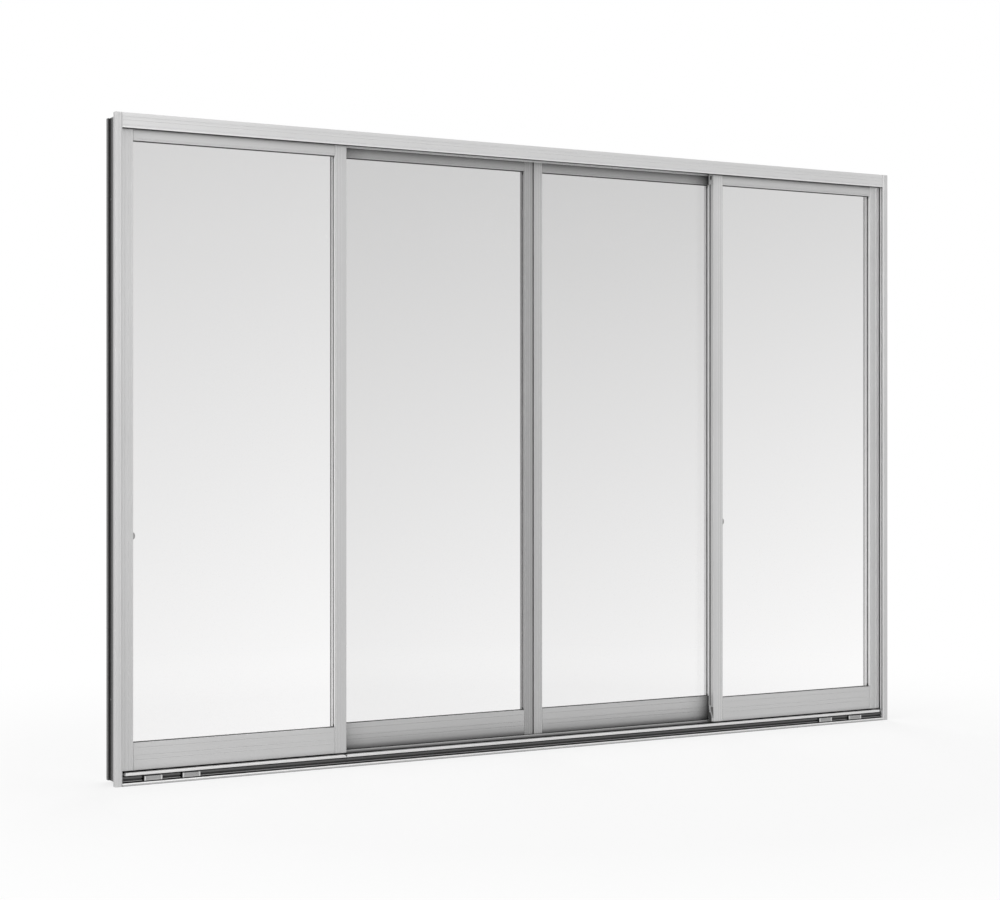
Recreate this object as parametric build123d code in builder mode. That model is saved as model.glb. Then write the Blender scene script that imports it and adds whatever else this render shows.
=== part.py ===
from build123d import *
import os

# Four-panel sliding door: two outer panels on the front track, two inner panels on the
# back track that meet in the middle. X runs along the door, the front faces -Y, Z is up.
# The origin is the middle of the flat underside of the sill, and all sizes are millimetres.

# Overall sizes
frame_width = 3000.0
frame_height = 2050.0
front_y = -55.0
rear_y = 55.0

# Aluminium sections of the frame
lip = 7.0                    # how far the front flange laps beyond the body of the frame
wall = 2.5
head_set_back = 2.5          # the face of the head lies this far behind the faces of the jambs
box_back_y = -35.0           # back of the front box, 5 clear of the front panels
web_inset = 5.0              # outer channel of head and jambs, below the rear flange
rear_flange_y = 47.0         # front of the rear flange, 5 clear of the back panels
rear_pad_y = 37.0
fin_front_y = 5.0            # fin between the two tracks
fin_back_y = 7.0
fin_gap = 0.5                # the fin of a jamb stops this far behind the inner edge of its face
jamb_face = 22.0
jamb_bevel_width = 4.0       # bright bevel along the inner edge of the jamb's face
jamb_bevel_depth = 1.5
jamb_rear_reach = 19.0
head_face = 46.0

# Grooves for the weather seals in the front boxes
seal_lip = 3.0               # metal in front of the first groove
seal_width = 6.0
seal_step = 11.0             # from one groove to the next
seal_depth = 4.0
seal_play = 0.3
seal_recess = 0.5

# Sill
sill_base = 2.5
lip_bevel = 3.5
gutter_y = -46.0             # front of the two fins in the gutter
low_fin_bottom = 5.5
low_fin_top = 8.0
high_fin_bottom = 14.0
high_fin_top = 20.5
high_fin_skin = 1.5
nosing_y = -50.0
nosing_bottom = 24.0
nosing_top = 32.0
nosing_bevel = 1.0
nosing_end_gap = 12.0
mid_wall_top = 38.0
rear_wall_top = 45.0
rail_web = 3.0
rail_web_top = 24.0
rail_cap_width = 6.0
rail_cap_top = 27.0
rail_cap_skirt = 8.0
notch_width = 12.0
notch_depth = 6.0
notch_from_edge = 8.5        # from the edge of the left lapping stile
seam_width = 1.0
seam_depth = 1.0

# Panels
panel_thick = 30.0
front_panel_y = -30.0
back_panel_y = 12.0
back_panel_rise = 3.0
panel_edge = 1480.0          # outer edge of the side stiles, from the middle of the door
meeting_gap = 6.0
side_stile = 44.0
front_lap_stile = 40.0
back_lap_stile = 16.0
back_lap_inset = 9.5         # the back lapping stiles start this far in from the edge of the front ones
meeting_stile = 32.0
panel_bottom = 36.0
panel_top = 2012.0
bottom_rail_height = 84.0
top_rail_height = 49.0
skin = 2.0

# Glass and its gasket, measured back from the face of a panel
bead_front = 8.0
bead_back = 18.0
pocket_depth = 10.0
glass_bite = 8.0
glass_front = 10.0
glass_back = 16.0
gasket_bite = 6.0
gasket_face = 4.0
gasket_thick = 2.0

# Shallow flutes on the faces, and shadow joints where the rails meet the stiles
flute_width = 0.8
flute_depth = 0.4
jamb_flute = 14.0            # from the outer edge of the jamb
head_flutes = (8.0, 23.0, 33.0)
stile_flutes = (0.40, 0.66, 0.89)
bottom_rail_flutes = (31.0, 45.0, 68.0)
top_rail_flute = 5.0
joint_width = 0.8
joint_depth = 0.8

# Grooves in the outer sides of the stiles
groove_front = 17.0
groove_back = 27.0
groove_depth = 3.0

# Rollers
roller_radius = 13.0
roller_width = 8.0
roller_groove = 1.2
roller_groove_floor = 2.0
roller_play = 0.3
axle_radius = 3.0
roller_channel = 18.0
roller_channel_height = 30.0
roller_inset = 110.0

# Latches and guide blocks
latch_height = 753.0
latch_radius = 11.0
latch_reach = 7.0
latch_thick = 5.0
latch_set_back = 1.0
block_proud = 1.5
bottom_block_height = 56.0
top_block_height = 47.0
meeting_seal_proud = 0.5
meeting_seal_width = 9.0

# Fixing holes
screw_radius = 3.25
screw_low = 250.0
screw_high = 1786.0
screw_track_front = -15.0
screw_track_back = 27.0
head_screw_x = 1100.0

# Drain covers across the two fins of the gutter, each with an open slot at its left
drain_spots = (-1378.0, -1255.0, 1212.0, 1350.0)
drain_width = 57.0
drain_bottom = 5.0
drain_height = 14.0
drain_thick = 4.5
drain_corner = 1.2
drain_slot_width = 6.5
drain_slot_top = 21.0

# Sizes that follow from the ones above
half_width = frame_width / 2
body_half_width = half_width - lip
web_outer = body_half_width - web_inset
web_inner = web_outer - wall
jamb_inner = half_width - jamb_face
body_height = frame_height - 2 * lip
lip_bottom = -lip
frame_top = frame_height - lip
head_front = front_y + head_set_back
head_bottom = frame_top - head_face
web_top = body_height - web_inset
web_under = web_top - wall
nosing_end = jamb_inner - nosing_end_gap
middle = meeting_gap / 2
lap_edge = (panel_edge + middle - front_lap_stile) / 2    # outer edge of the front lapping stiles
second_groove = seal_lip + seal_step

os.makedirs("parts", exist_ok=True)


def save(builder, name):
    builder.part.label = name
    export_step(builder.part, f"parts/{name}.step")


def block(x0, x1, y0, y1, z0, z1, mode=Mode.ADD):
    # a box between two corners, for use inside a part
    with Locations(((x0 + x1) / 2, (y0 + y1) / 2, (z0 + z1) / 2)):
        Box(abs(x1 - x0), abs(y1 - y0), abs(z1 - z0), mode=mode)


def patch(a0, a1, b0, b1, mode=Mode.ADD):
    # a rectangle between two corners, for use inside a sketch
    with Locations(((a0 + a1) / 2, (b0 + b1) / 2)):
        Rectangle(abs(a1 - a0), abs(b1 - b0), mode=mode)


def bevel(a, b, reach_a, reach_b):
    # take a three-cornered bevel off the corner (a, b) of a sketch
    Polygon((a, b), (a + reach_a, b), (a, b + reach_b), align=None, mode=Mode.SUBTRACT)


def along_x(x):
    # plane across the door at x, with sketch axes Y and Z, normal +X
    return Plane((x, 0, 0), x_dir=(0, 1, 0), z_dir=(1, 0, 0))


# Jambs: a front box that runs the full height, and a shorter channel behind it
def make_jamb(side, name):
    flute_x = half_width - jamb_flute
    with BuildPart() as jamb:
        with BuildSketch(Plane.XY.offset(lip_bottom)):
            patch(side * jamb_inner, side * half_width, front_y, box_back_y)
            patch(side * (jamb_inner + seal_depth + wall), side * (half_width - wall),
                  front_y + wall, box_back_y - wall, mode=Mode.SUBTRACT)
            for groove_y in (front_y + seal_lip, front_y + second_groove):
                patch(side * jamb_inner, side * (jamb_inner + seal_depth),
                      groove_y, groove_y + seal_width, mode=Mode.SUBTRACT)
            bevel(side * jamb_inner, front_y, side * jamb_bevel_width, jamb_bevel_depth)
            patch(side * flute_x, side * (flute_x + flute_width),
                  front_y, front_y + flute_depth, mode=Mode.SUBTRACT)
        extrude(amount=frame_height)
        with BuildSketch(Plane.XY):
            patch(side * web_inner, side * web_outer, box_back_y, rear_y)
            patch(side * (jamb_inner + fin_gap), side * web_inner, fin_front_y, fin_back_y)
            patch(side * web_outer, side * body_half_width, rear_pad_y, rear_y)
            patch(side * (body_half_width - jamb_rear_reach), side * web_inner,
                  rear_flange_y, rear_y)
            patch(side * (body_half_width - jamb_rear_reach + wall), side * (web_inner - wall),
                  rear_flange_y + wall, rear_y - wall, mode=Mode.SUBTRACT)
        extrude(amount=body_height)
        hole_spots = [(y, z) for y in (screw_track_front, screw_track_back)
                      for z in (screw_low, screw_high)]
        with BuildSketch(along_x(side * (web_inner - wall))):
            with Locations(*hole_spots):
                Circle(screw_radius)
        extrude(amount=side * 3 * wall, mode=Mode.SUBTRACT)
    save(jamb, name)


make_jamb(-1, "left_jamb")
make_jamb(1, "right_jamb")


def cope_ends(low, high):
    # cut away the ends where the fins and rear flanges of the jambs run past
    for side in (-1, 1):
        block(side * (jamb_inner + fin_gap), side * web_inner,
              fin_front_y, fin_back_y, low, high, mode=Mode.SUBTRACT)
        block(side * (body_half_width - jamb_rear_reach), side * web_inner,
              rear_flange_y, rear_y, low, high, mode=Mode.SUBTRACT)


# Head: front box with the face, web set below the flanges, fin and rear flange
with BuildPart() as head:
    with BuildSketch(along_x(-jamb_inner)):
        patch(head_front, box_back_y, head_bottom, body_height)
        patch(head_front, head_front + wall, body_height, frame_top)
        patch(head_front + wall, box_back_y - wall, head_bottom + seal_depth + wall,
              body_height - wall, mode=Mode.SUBTRACT)
        patch(head_front + seal_lip, head_front + seal_lip + seal_width,
              head_bottom, head_bottom + seal_depth, mode=Mode.SUBTRACT)
        patch(head_front + second_groove, box_back_y,
              head_bottom, head_bottom + seal_depth, mode=Mode.SUBTRACT)
        for flute_z in head_flutes:
            patch(head_front, head_front + flute_depth, head_bottom + flute_z,
                  head_bottom + flute_z + flute_width, mode=Mode.SUBTRACT)
    extrude(amount=2 * jamb_inner)
    with BuildSketch(along_x(-web_inner)):
        patch(box_back_y, rear_y, web_under, web_top)
        patch(fin_front_y, fin_back_y, head_bottom, web_under)
        patch(rear_pad_y, rear_y, web_top, body_height)
        patch(rear_flange_y, rear_y, head_bottom, web_under)
        patch(rear_flange_y + wall, rear_y - wall, head_bottom + wall, web_under - wall,
              mode=Mode.SUBTRACT)
    extrude(amount=2 * web_inner)
    with Locations(*[(x, y, web_top) for x in (-head_screw_x, head_screw_x)
                     for y in (screw_track_front, screw_track_back)]):
        Hole(screw_radius)
    cope_ends(head_bottom, body_height)
save(head, "head")


# Sill: lip, gutter with two fins, nosing, two running rails, middle wall and rear upstand
with BuildPart() as sill:
    fin_root_y = box_back_y - wall
    with BuildSketch(along_x(-jamb_inner)):
        patch(front_y, front_y + wall, lip_bottom, sill_base)
        patch(front_y, box_back_y, 0, sill_base)
        bevel(front_y, sill_base, lip_bevel, -lip_bevel)
        patch(fin_root_y, box_back_y, sill_base, nosing_bottom)
        patch(gutter_y, fin_root_y, low_fin_bottom, low_fin_top)
        patch(gutter_y, fin_root_y, high_fin_bottom, high_fin_top)
        patch(gutter_y + high_fin_skin, fin_root_y, high_fin_bottom + high_fin_skin,
              high_fin_top - high_fin_skin, mode=Mode.SUBTRACT)
    extrude(amount=2 * jamb_inner)
    with BuildSketch(along_x(-nosing_end)):
        patch(nosing_y, box_back_y, nosing_bottom, nosing_top)
        patch(nosing_y + wall, fin_root_y, nosing_bottom + wall, nosing_top - wall,
              mode=Mode.SUBTRACT)
        bevel(nosing_y, nosing_top, nosing_bevel, -nosing_bevel)
    extrude(amount=2 * nosing_end)
    with BuildSketch(along_x(-web_inner)):
        patch(box_back_y, rear_y, 0, sill_base)
        patch(fin_front_y, fin_back_y, sill_base, mid_wall_top)
        for track_y in (front_panel_y, back_panel_y):
            rail_y = track_y + panel_thick / 2
            rise = back_panel_rise if track_y == back_panel_y else 0
            patch(rail_y - rail_web / 2, rail_y + rail_web / 2, sill_base, rail_web_top + rise)
        patch(rear_flange_y, rear_y, sill_base, rear_wall_top)
        patch(rear_flange_y + wall, rear_y - wall, sill_base, rear_wall_top - wall,
              mode=Mode.SUBTRACT)
    extrude(amount=2 * web_inner)
    notch_x = -lap_edge - notch_from_edge
    with BuildSketch(Plane.XZ.offset(-box_back_y)):
        with BuildLine():
            Polyline((notch_x - notch_width / 2, nosing_top), (notch_x, nosing_top - notch_depth),
                     (notch_x + notch_width / 2, nosing_top), close=True)
        make_face()
    extrude(amount=box_back_y - nosing_y, mode=Mode.SUBTRACT)
    block(notch_x - seam_width / 2, notch_x + seam_width / 2, nosing_y, gutter_y + seam_depth,
          sill_base, nosing_top, mode=Mode.SUBTRACT)
    for drain_x in drain_spots:
        slot_end = drain_x - drain_width / 2
        block(slot_end - drain_slot_width, slot_end, gutter_y, box_back_y,
              drain_bottom, drain_slot_top, mode=Mode.SUBTRACT)
    cope_ends(0, rear_wall_top)
save(sill, "sill")


# Running rail caps, snapped over the two upstands of the sill
def make_rail_cap(name, track_y, rise):
    rail_y = track_y + panel_thick / 2
    top = rail_cap_top + rise
    radius = rail_cap_width / 2
    with BuildPart() as cap:
        with BuildSketch(along_x(-nosing_end)):
            patch(rail_y - radius, rail_y + radius, top - rail_cap_skirt, top - radius)
            with Locations((rail_y, top - radius)):
                Circle(radius)
            patch(rail_y - rail_web / 2, rail_y + rail_web / 2, top - rail_cap_skirt,
                  rail_web_top + rise, mode=Mode.SUBTRACT)
        extrude(amount=2 * nosing_end)
    save(cap, name)


make_rail_cap("front_rail_cap", front_panel_y, 0)
make_rail_cap("back_rail_cap", back_panel_y, back_panel_rise)


# Drain covers: small caps that bridge the two fins, two near each end of the gutter
with BuildPart() as drain_covers:
    for drain_x in drain_spots:
        block(drain_x - drain_width / 2, drain_x + drain_width / 2,
              gutter_y - drain_thick, gutter_y, drain_bottom, drain_bottom + drain_height)
    fillet(drain_covers.edges().filter_by(Axis.Y), drain_corner)
save(drain_covers, "drain_covers")


# Weather seals in the grooves of the jambs and the head, one strip in each groove
def make_jamb_seals(side, name):
    with BuildPart() as seals:
        for groove_y in (front_y + seal_lip, front_y + second_groove):
            block(side * (jamb_inner + seal_recess), side * (jamb_inner + seal_depth),
                  groove_y + seal_play, groove_y + seal_width - seal_play,
                  nosing_top, head_bottom)
    save(seals, name)


make_jamb_seals(-1, "left_jamb_seals")
make_jamb_seals(1, "right_jamb_seals")

with BuildPart() as head_seals:
    for strip_y, strip_width in ((head_front + seal_lip, seal_width),
                                 (head_front + second_groove, seal_width / 2)):
        block(-jamb_inner, jamb_inner, strip_y, strip_y + strip_width,
              head_bottom + seal_recess, head_bottom + seal_depth)
save(head_seals, "head_seals")


# Panels: each one is described by its edges, its track and the widths of its stiles
def make_stile(name, x_outer, x_inner, face_y, low, high, grooved):
    # a stile with a glazing pocket on its inner side, hollow where it is wide enough
    side = 1 if x_inner > x_outer else -1
    hollow_outer = x_outer + side * (groove_depth + skin)
    hollow_inner = x_inner - side * (pocket_depth + skin)
    with BuildPart() as stile:
        with BuildSketch(Plane.XY.offset(low)):
            patch(x_outer, x_inner, face_y, face_y + panel_thick)
            if side * (hollow_inner - hollow_outer) > skin:
                patch(hollow_outer, hollow_inner, face_y + skin, face_y + panel_thick - skin,
                      mode=Mode.SUBTRACT)
            patch(x_inner, x_inner - side * pocket_depth,
                  face_y + bead_front, face_y + bead_back, mode=Mode.SUBTRACT)
            if grooved:
                patch(x_outer, x_outer + side * groove_depth,
                      face_y + groove_front, face_y + groove_back, mode=Mode.SUBTRACT)
            for share in stile_flutes:
                flute_x = x_outer + share * (x_inner - x_outer)
                for flute_y in (face_y, face_y + panel_thick - flute_depth):
                    patch(flute_x - flute_width / 2, flute_x + flute_width / 2,
                          flute_y, flute_y + flute_depth, mode=Mode.SUBTRACT)
        extrude(amount=high - low)
    save(stile, name)


def cut_joints(x0, x1, face_y, low, high):
    # shadow joints at both ends of a rail, on its front and its back
    for joint_x in (x0, x1 - joint_width):
        for joint_y in (face_y, face_y + panel_thick - joint_depth):
            block(joint_x, joint_x + joint_width, joint_y, joint_y + joint_depth,
                  low, high, mode=Mode.SUBTRACT)


def make_top_rail(name, x0, x1, face_y, low, high):
    with BuildPart() as rail:
        with BuildSketch(along_x(x0)):
            patch(face_y, face_y + panel_thick, low, high)
            patch(face_y + skin, face_y + panel_thick - skin,
                  low + pocket_depth + skin, high - skin, mode=Mode.SUBTRACT)
            patch(face_y + bead_front, face_y + bead_back, low, low + pocket_depth,
                  mode=Mode.SUBTRACT)
            patch(face_y, face_y + flute_depth, low + top_rail_flute,
                  low + top_rail_flute + flute_width, mode=Mode.SUBTRACT)
        extrude(amount=x1 - x0)
        cut_joints(x0, x1, face_y, low, high)
    save(rail, name)


def make_bottom_rail(name, x0, x1, face_y, low, high):
    mid_y = face_y + panel_thick / 2
    with BuildPart() as rail:
        with BuildSketch(along_x(x0)):
            patch(face_y, face_y + panel_thick, low, high)
            patch(mid_y - roller_channel / 2, mid_y + roller_channel / 2,
                  low, low + roller_channel_height, mode=Mode.SUBTRACT)
            patch(face_y + skin, face_y + panel_thick - skin,
                  low + roller_channel_height + skin, high - pocket_depth - skin,
                  mode=Mode.SUBTRACT)
            patch(face_y + bead_front, face_y + bead_back, high - pocket_depth, high,
                  mode=Mode.SUBTRACT)
            for flute_z in bottom_rail_flutes:
                patch(face_y, face_y + flute_depth, low + flute_z, low + flute_z + flute_width,
                      mode=Mode.SUBTRACT)
        extrude(amount=x1 - x0)
        cut_joints(x0, x1, face_y, low, high)
    save(rail, name)


def make_glass(name, x0, x1, face_y, low, high):
    with BuildPart() as glass:
        block(x0 - glass_bite, x1 + glass_bite, face_y + glass_front, face_y + glass_back,
              low - glass_bite, high + glass_bite)
    save(glass, name)


def make_gasket(name, x0, x1, face_y, low, high):
    # one black ring in front of the glass and one behind it
    with BuildPart() as gasket:
        for ring_y in (face_y + glass_front - gasket_thick, face_y + glass_back):
            block(x0 - gasket_bite, x1 + gasket_bite, ring_y, ring_y + gasket_thick,
                  low - gasket_bite, high + gasket_bite)
            block(x0 + gasket_face, x1 - gasket_face, ring_y, ring_y + gasket_thick,
                  low + gasket_face, high - gasket_face, mode=Mode.SUBTRACT)
    save(gasket, name)


def make_rollers(name, x0, x1, face_y, rail_top):
    # two grooved wheels that hang on pins across the channel of the bottom rail
    mid_y = face_y + panel_thick / 2
    axle_z = rail_top + roller_radius + roller_play - roller_groove
    pin = roller_channel / 2
    tread = roller_width / 2
    shoulder = rail_cap_width / 2
    floor = roller_groove_floor / 2
    with BuildPart() as rollers:
        for roller_x in (x0 + roller_inset, x1 - roller_inset):
            with BuildSketch(Plane((roller_x, mid_y, axle_z), x_dir=(0, 1, 0), z_dir=(1, 0, 0))):
                with BuildLine():
                    Polyline((-pin, 0), (-pin, axle_radius), (-tread, axle_radius),
                             (-tread, roller_radius), (-shoulder, roller_radius),
                             (-floor, roller_radius - roller_groove),
                             (floor, roller_radius - roller_groove), (shoulder, roller_radius),
                             (tread, roller_radius), (tread, axle_radius),
                             (pin, axle_radius), (pin, 0), close=True)
                make_face()
            revolve(axis=Axis((roller_x, mid_y, axle_z), (0, 1, 0)))
    save(rollers, name)


def make_guides(name, x_outer, side, face_y, low, high):
    # plastic guides that fill the side groove at the foot and the head of the lapping stile
    x_in = x_outer + side * groove_depth
    x_out = x_outer - side * block_proud
    y0 = face_y + groove_front
    y1 = face_y + groove_back
    with BuildPart() as guides:
        block(x_in, x_out, y0, y1, low, low + bottom_block_height)
        block(x_in, x_out, y0, y1, high - top_block_height, high)
    save(guides, name)


def make_latch(name, x_inner, face_y):
    # half-round thumb latch on the inner edge of the stile, in front of the glass
    low = latch_height - latch_radius
    high = latch_height + latch_radius
    with BuildPart() as latch:
        with BuildSketch(Plane.XZ.offset(-(face_y + latch_set_back))):
            with Locations((x_inner, latch_height)):
                Circle(latch_radius)
            patch(x_inner - latch_radius, x_inner, low, high, mode=Mode.SUBTRACT)
            patch(x_inner + latch_reach, x_inner + latch_radius, low, high, mode=Mode.SUBTRACT)
        extrude(amount=-latch_thick)
    save(latch, name)


def make_panel(number, x0, x1, left_width, right_width, face_y, rise):
    panel = f"panel_{number}"
    low = panel_bottom + rise
    high = panel_top + rise
    glass_low = low + bottom_rail_height
    glass_high = high - top_rail_height
    x_left = x0 + left_width
    x_right = x1 - right_width
    make_stile(panel + "_left_stile", x0, x_left, face_y, low, high, left_width != side_stile)
    make_stile(panel + "_right_stile", x1, x_right, face_y, low, high, right_width != side_stile)
    make_top_rail(panel + "_top_rail", x_left, x_right, face_y, glass_high, high)
    make_bottom_rail(panel + "_bottom_rail", x_left, x_right, face_y, low, glass_low)
    make_glass(panel + "_glass", x_left, x_right, face_y, glass_low, glass_high)
    make_gasket(panel + "_gasket", x_left, x_right, face_y, glass_low, glass_high)
    make_rollers(panel + "_rollers", x_left, x_right, face_y, rail_cap_top + rise)
    if left_width < right_width:
        make_guides(panel + "_guides", x0, 1, face_y, low, high)
    else:
        make_guides(panel + "_guides", x1, -1, face_y, low, high)
    if face_y == front_panel_y:
        make_latch(panel + "_latch", x_left, face_y)


back_edge = lap_edge + back_lap_inset + back_lap_stile
make_panel(1, -panel_edge, -lap_edge, side_stile, front_lap_stile, front_panel_y, 0)
make_panel(2, -back_edge, -middle, back_lap_stile, meeting_stile, back_panel_y, back_panel_rise)
make_panel(3, middle, back_edge, meeting_stile, back_lap_stile, back_panel_y, back_panel_rise)
make_panel(4, lap_edge, panel_edge, front_lap_stile, side_stile, front_panel_y, 0)


# Soft bulb seal between the two meeting stiles, carried by the left one
with BuildPart() as meeting_seal:
    seal_y = back_panel_y + (groove_front + groove_back) / 2
    block(-middle - groove_depth, -middle + meeting_seal_proud,
          seal_y - meeting_seal_width / 2, seal_y + meeting_seal_width / 2,
          panel_bottom + back_panel_rise, panel_top + back_panel_rise)
save(meeting_seal, "panel_2_meeting_seal")
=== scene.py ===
import bpy
import numpy as np
from math import radians
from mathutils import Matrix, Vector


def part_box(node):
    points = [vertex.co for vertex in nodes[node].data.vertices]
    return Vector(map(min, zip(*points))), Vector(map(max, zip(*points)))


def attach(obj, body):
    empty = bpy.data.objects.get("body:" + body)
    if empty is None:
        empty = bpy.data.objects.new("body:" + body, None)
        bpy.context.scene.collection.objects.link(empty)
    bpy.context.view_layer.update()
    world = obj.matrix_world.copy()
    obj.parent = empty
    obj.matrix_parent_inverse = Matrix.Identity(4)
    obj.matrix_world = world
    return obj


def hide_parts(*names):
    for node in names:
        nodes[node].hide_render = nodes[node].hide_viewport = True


# Four-panel sliding door: finishes, seals, small fittings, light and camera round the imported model.
# Lengths are millimetres in the dictionaries of pieces and for the lens and its sensor, and metres in the
# others.

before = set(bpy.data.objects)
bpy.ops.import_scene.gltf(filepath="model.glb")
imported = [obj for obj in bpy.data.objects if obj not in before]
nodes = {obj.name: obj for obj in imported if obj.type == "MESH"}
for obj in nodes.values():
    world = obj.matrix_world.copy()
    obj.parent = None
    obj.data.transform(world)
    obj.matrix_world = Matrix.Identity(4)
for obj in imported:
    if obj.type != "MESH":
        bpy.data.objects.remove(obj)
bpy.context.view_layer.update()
mm = 0.001


# Mesh making

def gridQuads(rows, cols, wrapRows=False, wrapCols=False):
    # quads between neighbours on a grid: (i, j), (i+1, j), (i+1, j+1), (i, j+1)
    i = np.arange(rows if wrapRows else rows - 1)[:, None]
    j = np.arange(cols if wrapCols else cols - 1)[None, :]
    nextI, nextJ = (i + 1) % rows, (j + 1) % cols
    return np.stack([i * cols + j, nextI * cols + j, nextI * cols + nextJ, i * cols + nextJ],
                    axis=-1).reshape(-1, 4)


def outward(points, quads, caps):
    # six times the volume, a . (b x c) summed over all triangles: where it is negative, all faces turn
    a, b, c, d = (points[quads[:, k]] for k in range(4))
    volume = np.sum(a * np.cross(b, c)) + np.sum(a * np.cross(c, d))
    for cap in caps:
        ring = points[cap]
        volume += np.sum(ring[0] * np.cross(ring[1:-1], ring[2:]))
    if volume < 0:
        quads = quads[:, ::-1]
        caps = [cap[::-1] for cap in caps]
    return points, quads, caps


def skin(rings, loop=False):
    # closed skin through rings[station, point]: each ring closes on itself, and the stations close
    # on themselves (loop) or end in two flat caps
    rows, cols = rings.shape[:2]
    first = np.arange(cols)
    caps = [] if loop else [first, (first + (rows - 1) * cols)[::-1]]
    return outward(rings.reshape(-1, 3), gridQuads(rows, cols, loop, True), caps)


def plate(front, back):
    # closed plate between two grids of the same size: both grids, and a band round their rims
    rows, cols = front.shape[:2]
    count = rows * cols
    index = np.arange(count).reshape(rows, cols)
    rim = np.concatenate([index[0, :-1], index[:-1, -1], index[-1, :0:-1], index[:0:-1, 0]])
    band = np.stack([rim, np.roll(rim, -1), np.roll(rim, -1) + count, rim + count], axis=-1)
    faces = gridQuads(rows, cols)
    points = np.concatenate([front.reshape(-1, 3), back.reshape(-1, 3)])
    return outward(points, np.concatenate([faces, band, faces[:, ::-1] + count]), [])


def putObject(name, data):
    made = bpy.data.objects.new(name, data)
    bpy.context.scene.collection.objects.link(made)
    return made


def putPiece(name, shells, finish, body, stands=(), crease=32):
    # one mesh object from closed shells that don't touch, in millimetres, riding on a body;
    # edges sharper than crease degrees stay sharp
    allPoints, allFaces, start = [], [], 0
    for points, quads, caps in shells:
        allPoints.append(points * mm)
        allFaces += (quads + start).tolist() + [(cap + start).tolist() for cap in caps]
        start += len(points)
    mesh = bpy.data.meshes.new(name)
    mesh.from_pydata(np.concatenate(allPoints).tolist(), [], allFaces)
    mesh.polygons.foreach_set("use_smooth", np.ones(len(mesh.polygons), bool))
    mesh.set_sharp_from_angle(angle=radians(crease))
    mesh.materials.append(finish)
    mesh.update()
    piece = putObject(name, mesh)
    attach(piece, body)
    if stands:
        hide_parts(*stands)
    return piece


def ringStack(x, y, z):
    # points from three arrays that are spread over each other's rows and columns
    return np.stack(np.broadcast_arrays(x, y, z), axis=-1)


def fourCorners(steps):
    # the four quarter turns of a round-cornered outline: angles, and the side of each corner on both axes
    quarter = np.repeat(np.arange(4), steps + 1)
    angle = quarter * np.pi / 2 + np.tile(np.linspace(0, np.pi / 2, steps + 1), 4)
    return angle, np.array([1, -1, -1, 1])[quarter], np.array([1, 1, -1, -1])[quarter]


def roundBox(low0, high0, low1, high1, radius, steps=4):
    # outline of a box with round corners: corner centre + radius * (cos a, sin a), a through 90 degrees each
    a, side0, side1 = fourCorners(steps)
    mid0, mid1 = (low0 + high0) / 2, (low1 + high1) / 2
    half0, half1 = (high0 - low0) / 2 - radius, (high1 - low1) / 2 - radius
    return np.stack([mid0 + side0 * half0 + radius * np.cos(a), mid1 + side1 * half1 + radius * np.sin(a)],
                    axis=-1)


def boxOf(node):
    # lowest and highest corner of a node, in millimetres
    low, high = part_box(node)
    return np.array(low) / mm, np.array(high) / mm


# Shader nodes

def newFinish(name):
    finish = bpy.data.materials.new(name)
    finish.use_nodes = True
    finish.node_tree.nodes.clear()
    return finish, finish.node_tree


def add(tree, kind, inputs=None, out=0, **settings):
    # one node, with settings on the node and values or sockets on its inputs; gives back its output
    made = tree.nodes.new(kind)
    for key, value in settings.items():
        setattr(made, key, value)
    for key, value in (inputs or {}).items():
        if isinstance(value, bpy.types.NodeSocket):
            tree.links.new(value, made.inputs[key])
        else:
            made.inputs[key].default_value = value
    return made.outputs[out] if made.outputs else made


def calc(tree, operation, a, b=0.0, c=0.0, clamp=False):
    return add(tree, "ShaderNodeMath", {0: a, 1: b, 2: c}, operation=operation, use_clamp=clamp)


def objectCoords(tree):
    return add(tree, "ShaderNodeTexCoord", out="Object")


def splitCoords(tree, coords):
    # the three parts X, Y and Z of a place
    apart = add(tree, "ShaderNodeSeparateXYZ", {0: coords}).node
    return [apart.outputs[0], apart.outputs[1], apart.outputs[2]]


def noise(tree, coords, sizes, detail=2.0, rough=0.5):
    # soft noise with a pattern's size in metres along X, Y and Z
    scaled = add(tree, "ShaderNodeMapping", {"Vector": coords, "Scale": tuple(1 / s for s in sizes)})
    return add(tree, "ShaderNodeTexNoise", {"Vector": scaled, "Scale": 1.0, "Detail": detail,
                                            "Roughness": rough})


def spread(tree, value, fromLow, fromHigh, toLow, toHigh):
    return add(tree, "ShaderNodeMapRange", {0: value, 1: fromLow, 2: fromHigh, 3: toLow, 4: toHigh})


def vary(tree, pattern, low, high):
    # low to high over the middle of a noise's range, where nearly all of it lies
    return spread(tree, pattern, 0.3, 0.7, low, high)


def varied(tree, level, pattern, swing):
    # level scaled by 1 - swing to 1 + swing after a noise
    return calc(tree, "MULTIPLY", level, vary(tree, pattern, 1 - swing, 1 + swing))


def greyShade(tree, level, warm=1.002):
    # a near neutral grey from one level
    return add(tree, "ShaderNodeCombineColor", {0: calc(tree, "MULTIPLY", level, warm), 1: level, 2: level})


def bumped(tree, height, look, normal=None):
    # a normal from a height pattern, with the strength and height of a look
    inputs = {"Strength": look["bump"], "Distance": look["bumpHeight"], "Height": height}
    if normal:
        inputs["Normal"] = normal
    return add(tree, "ShaderNodeBump", inputs)


def addSurface(tree, level, roughness, bump, metallic=0.0, sheen=0.0):
    # the surface shader on the output, with a grey level as its colour
    shader = add(tree, "ShaderNodeBsdfPrincipled", {
        "Base Color": greyShade(tree, level), "Metallic": metallic, "Roughness": roughness,
        "Normal": bump, "Sheen Weight": sheen})
    add(tree, "ShaderNodeOutputMaterial", {"Surface": shader})


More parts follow.
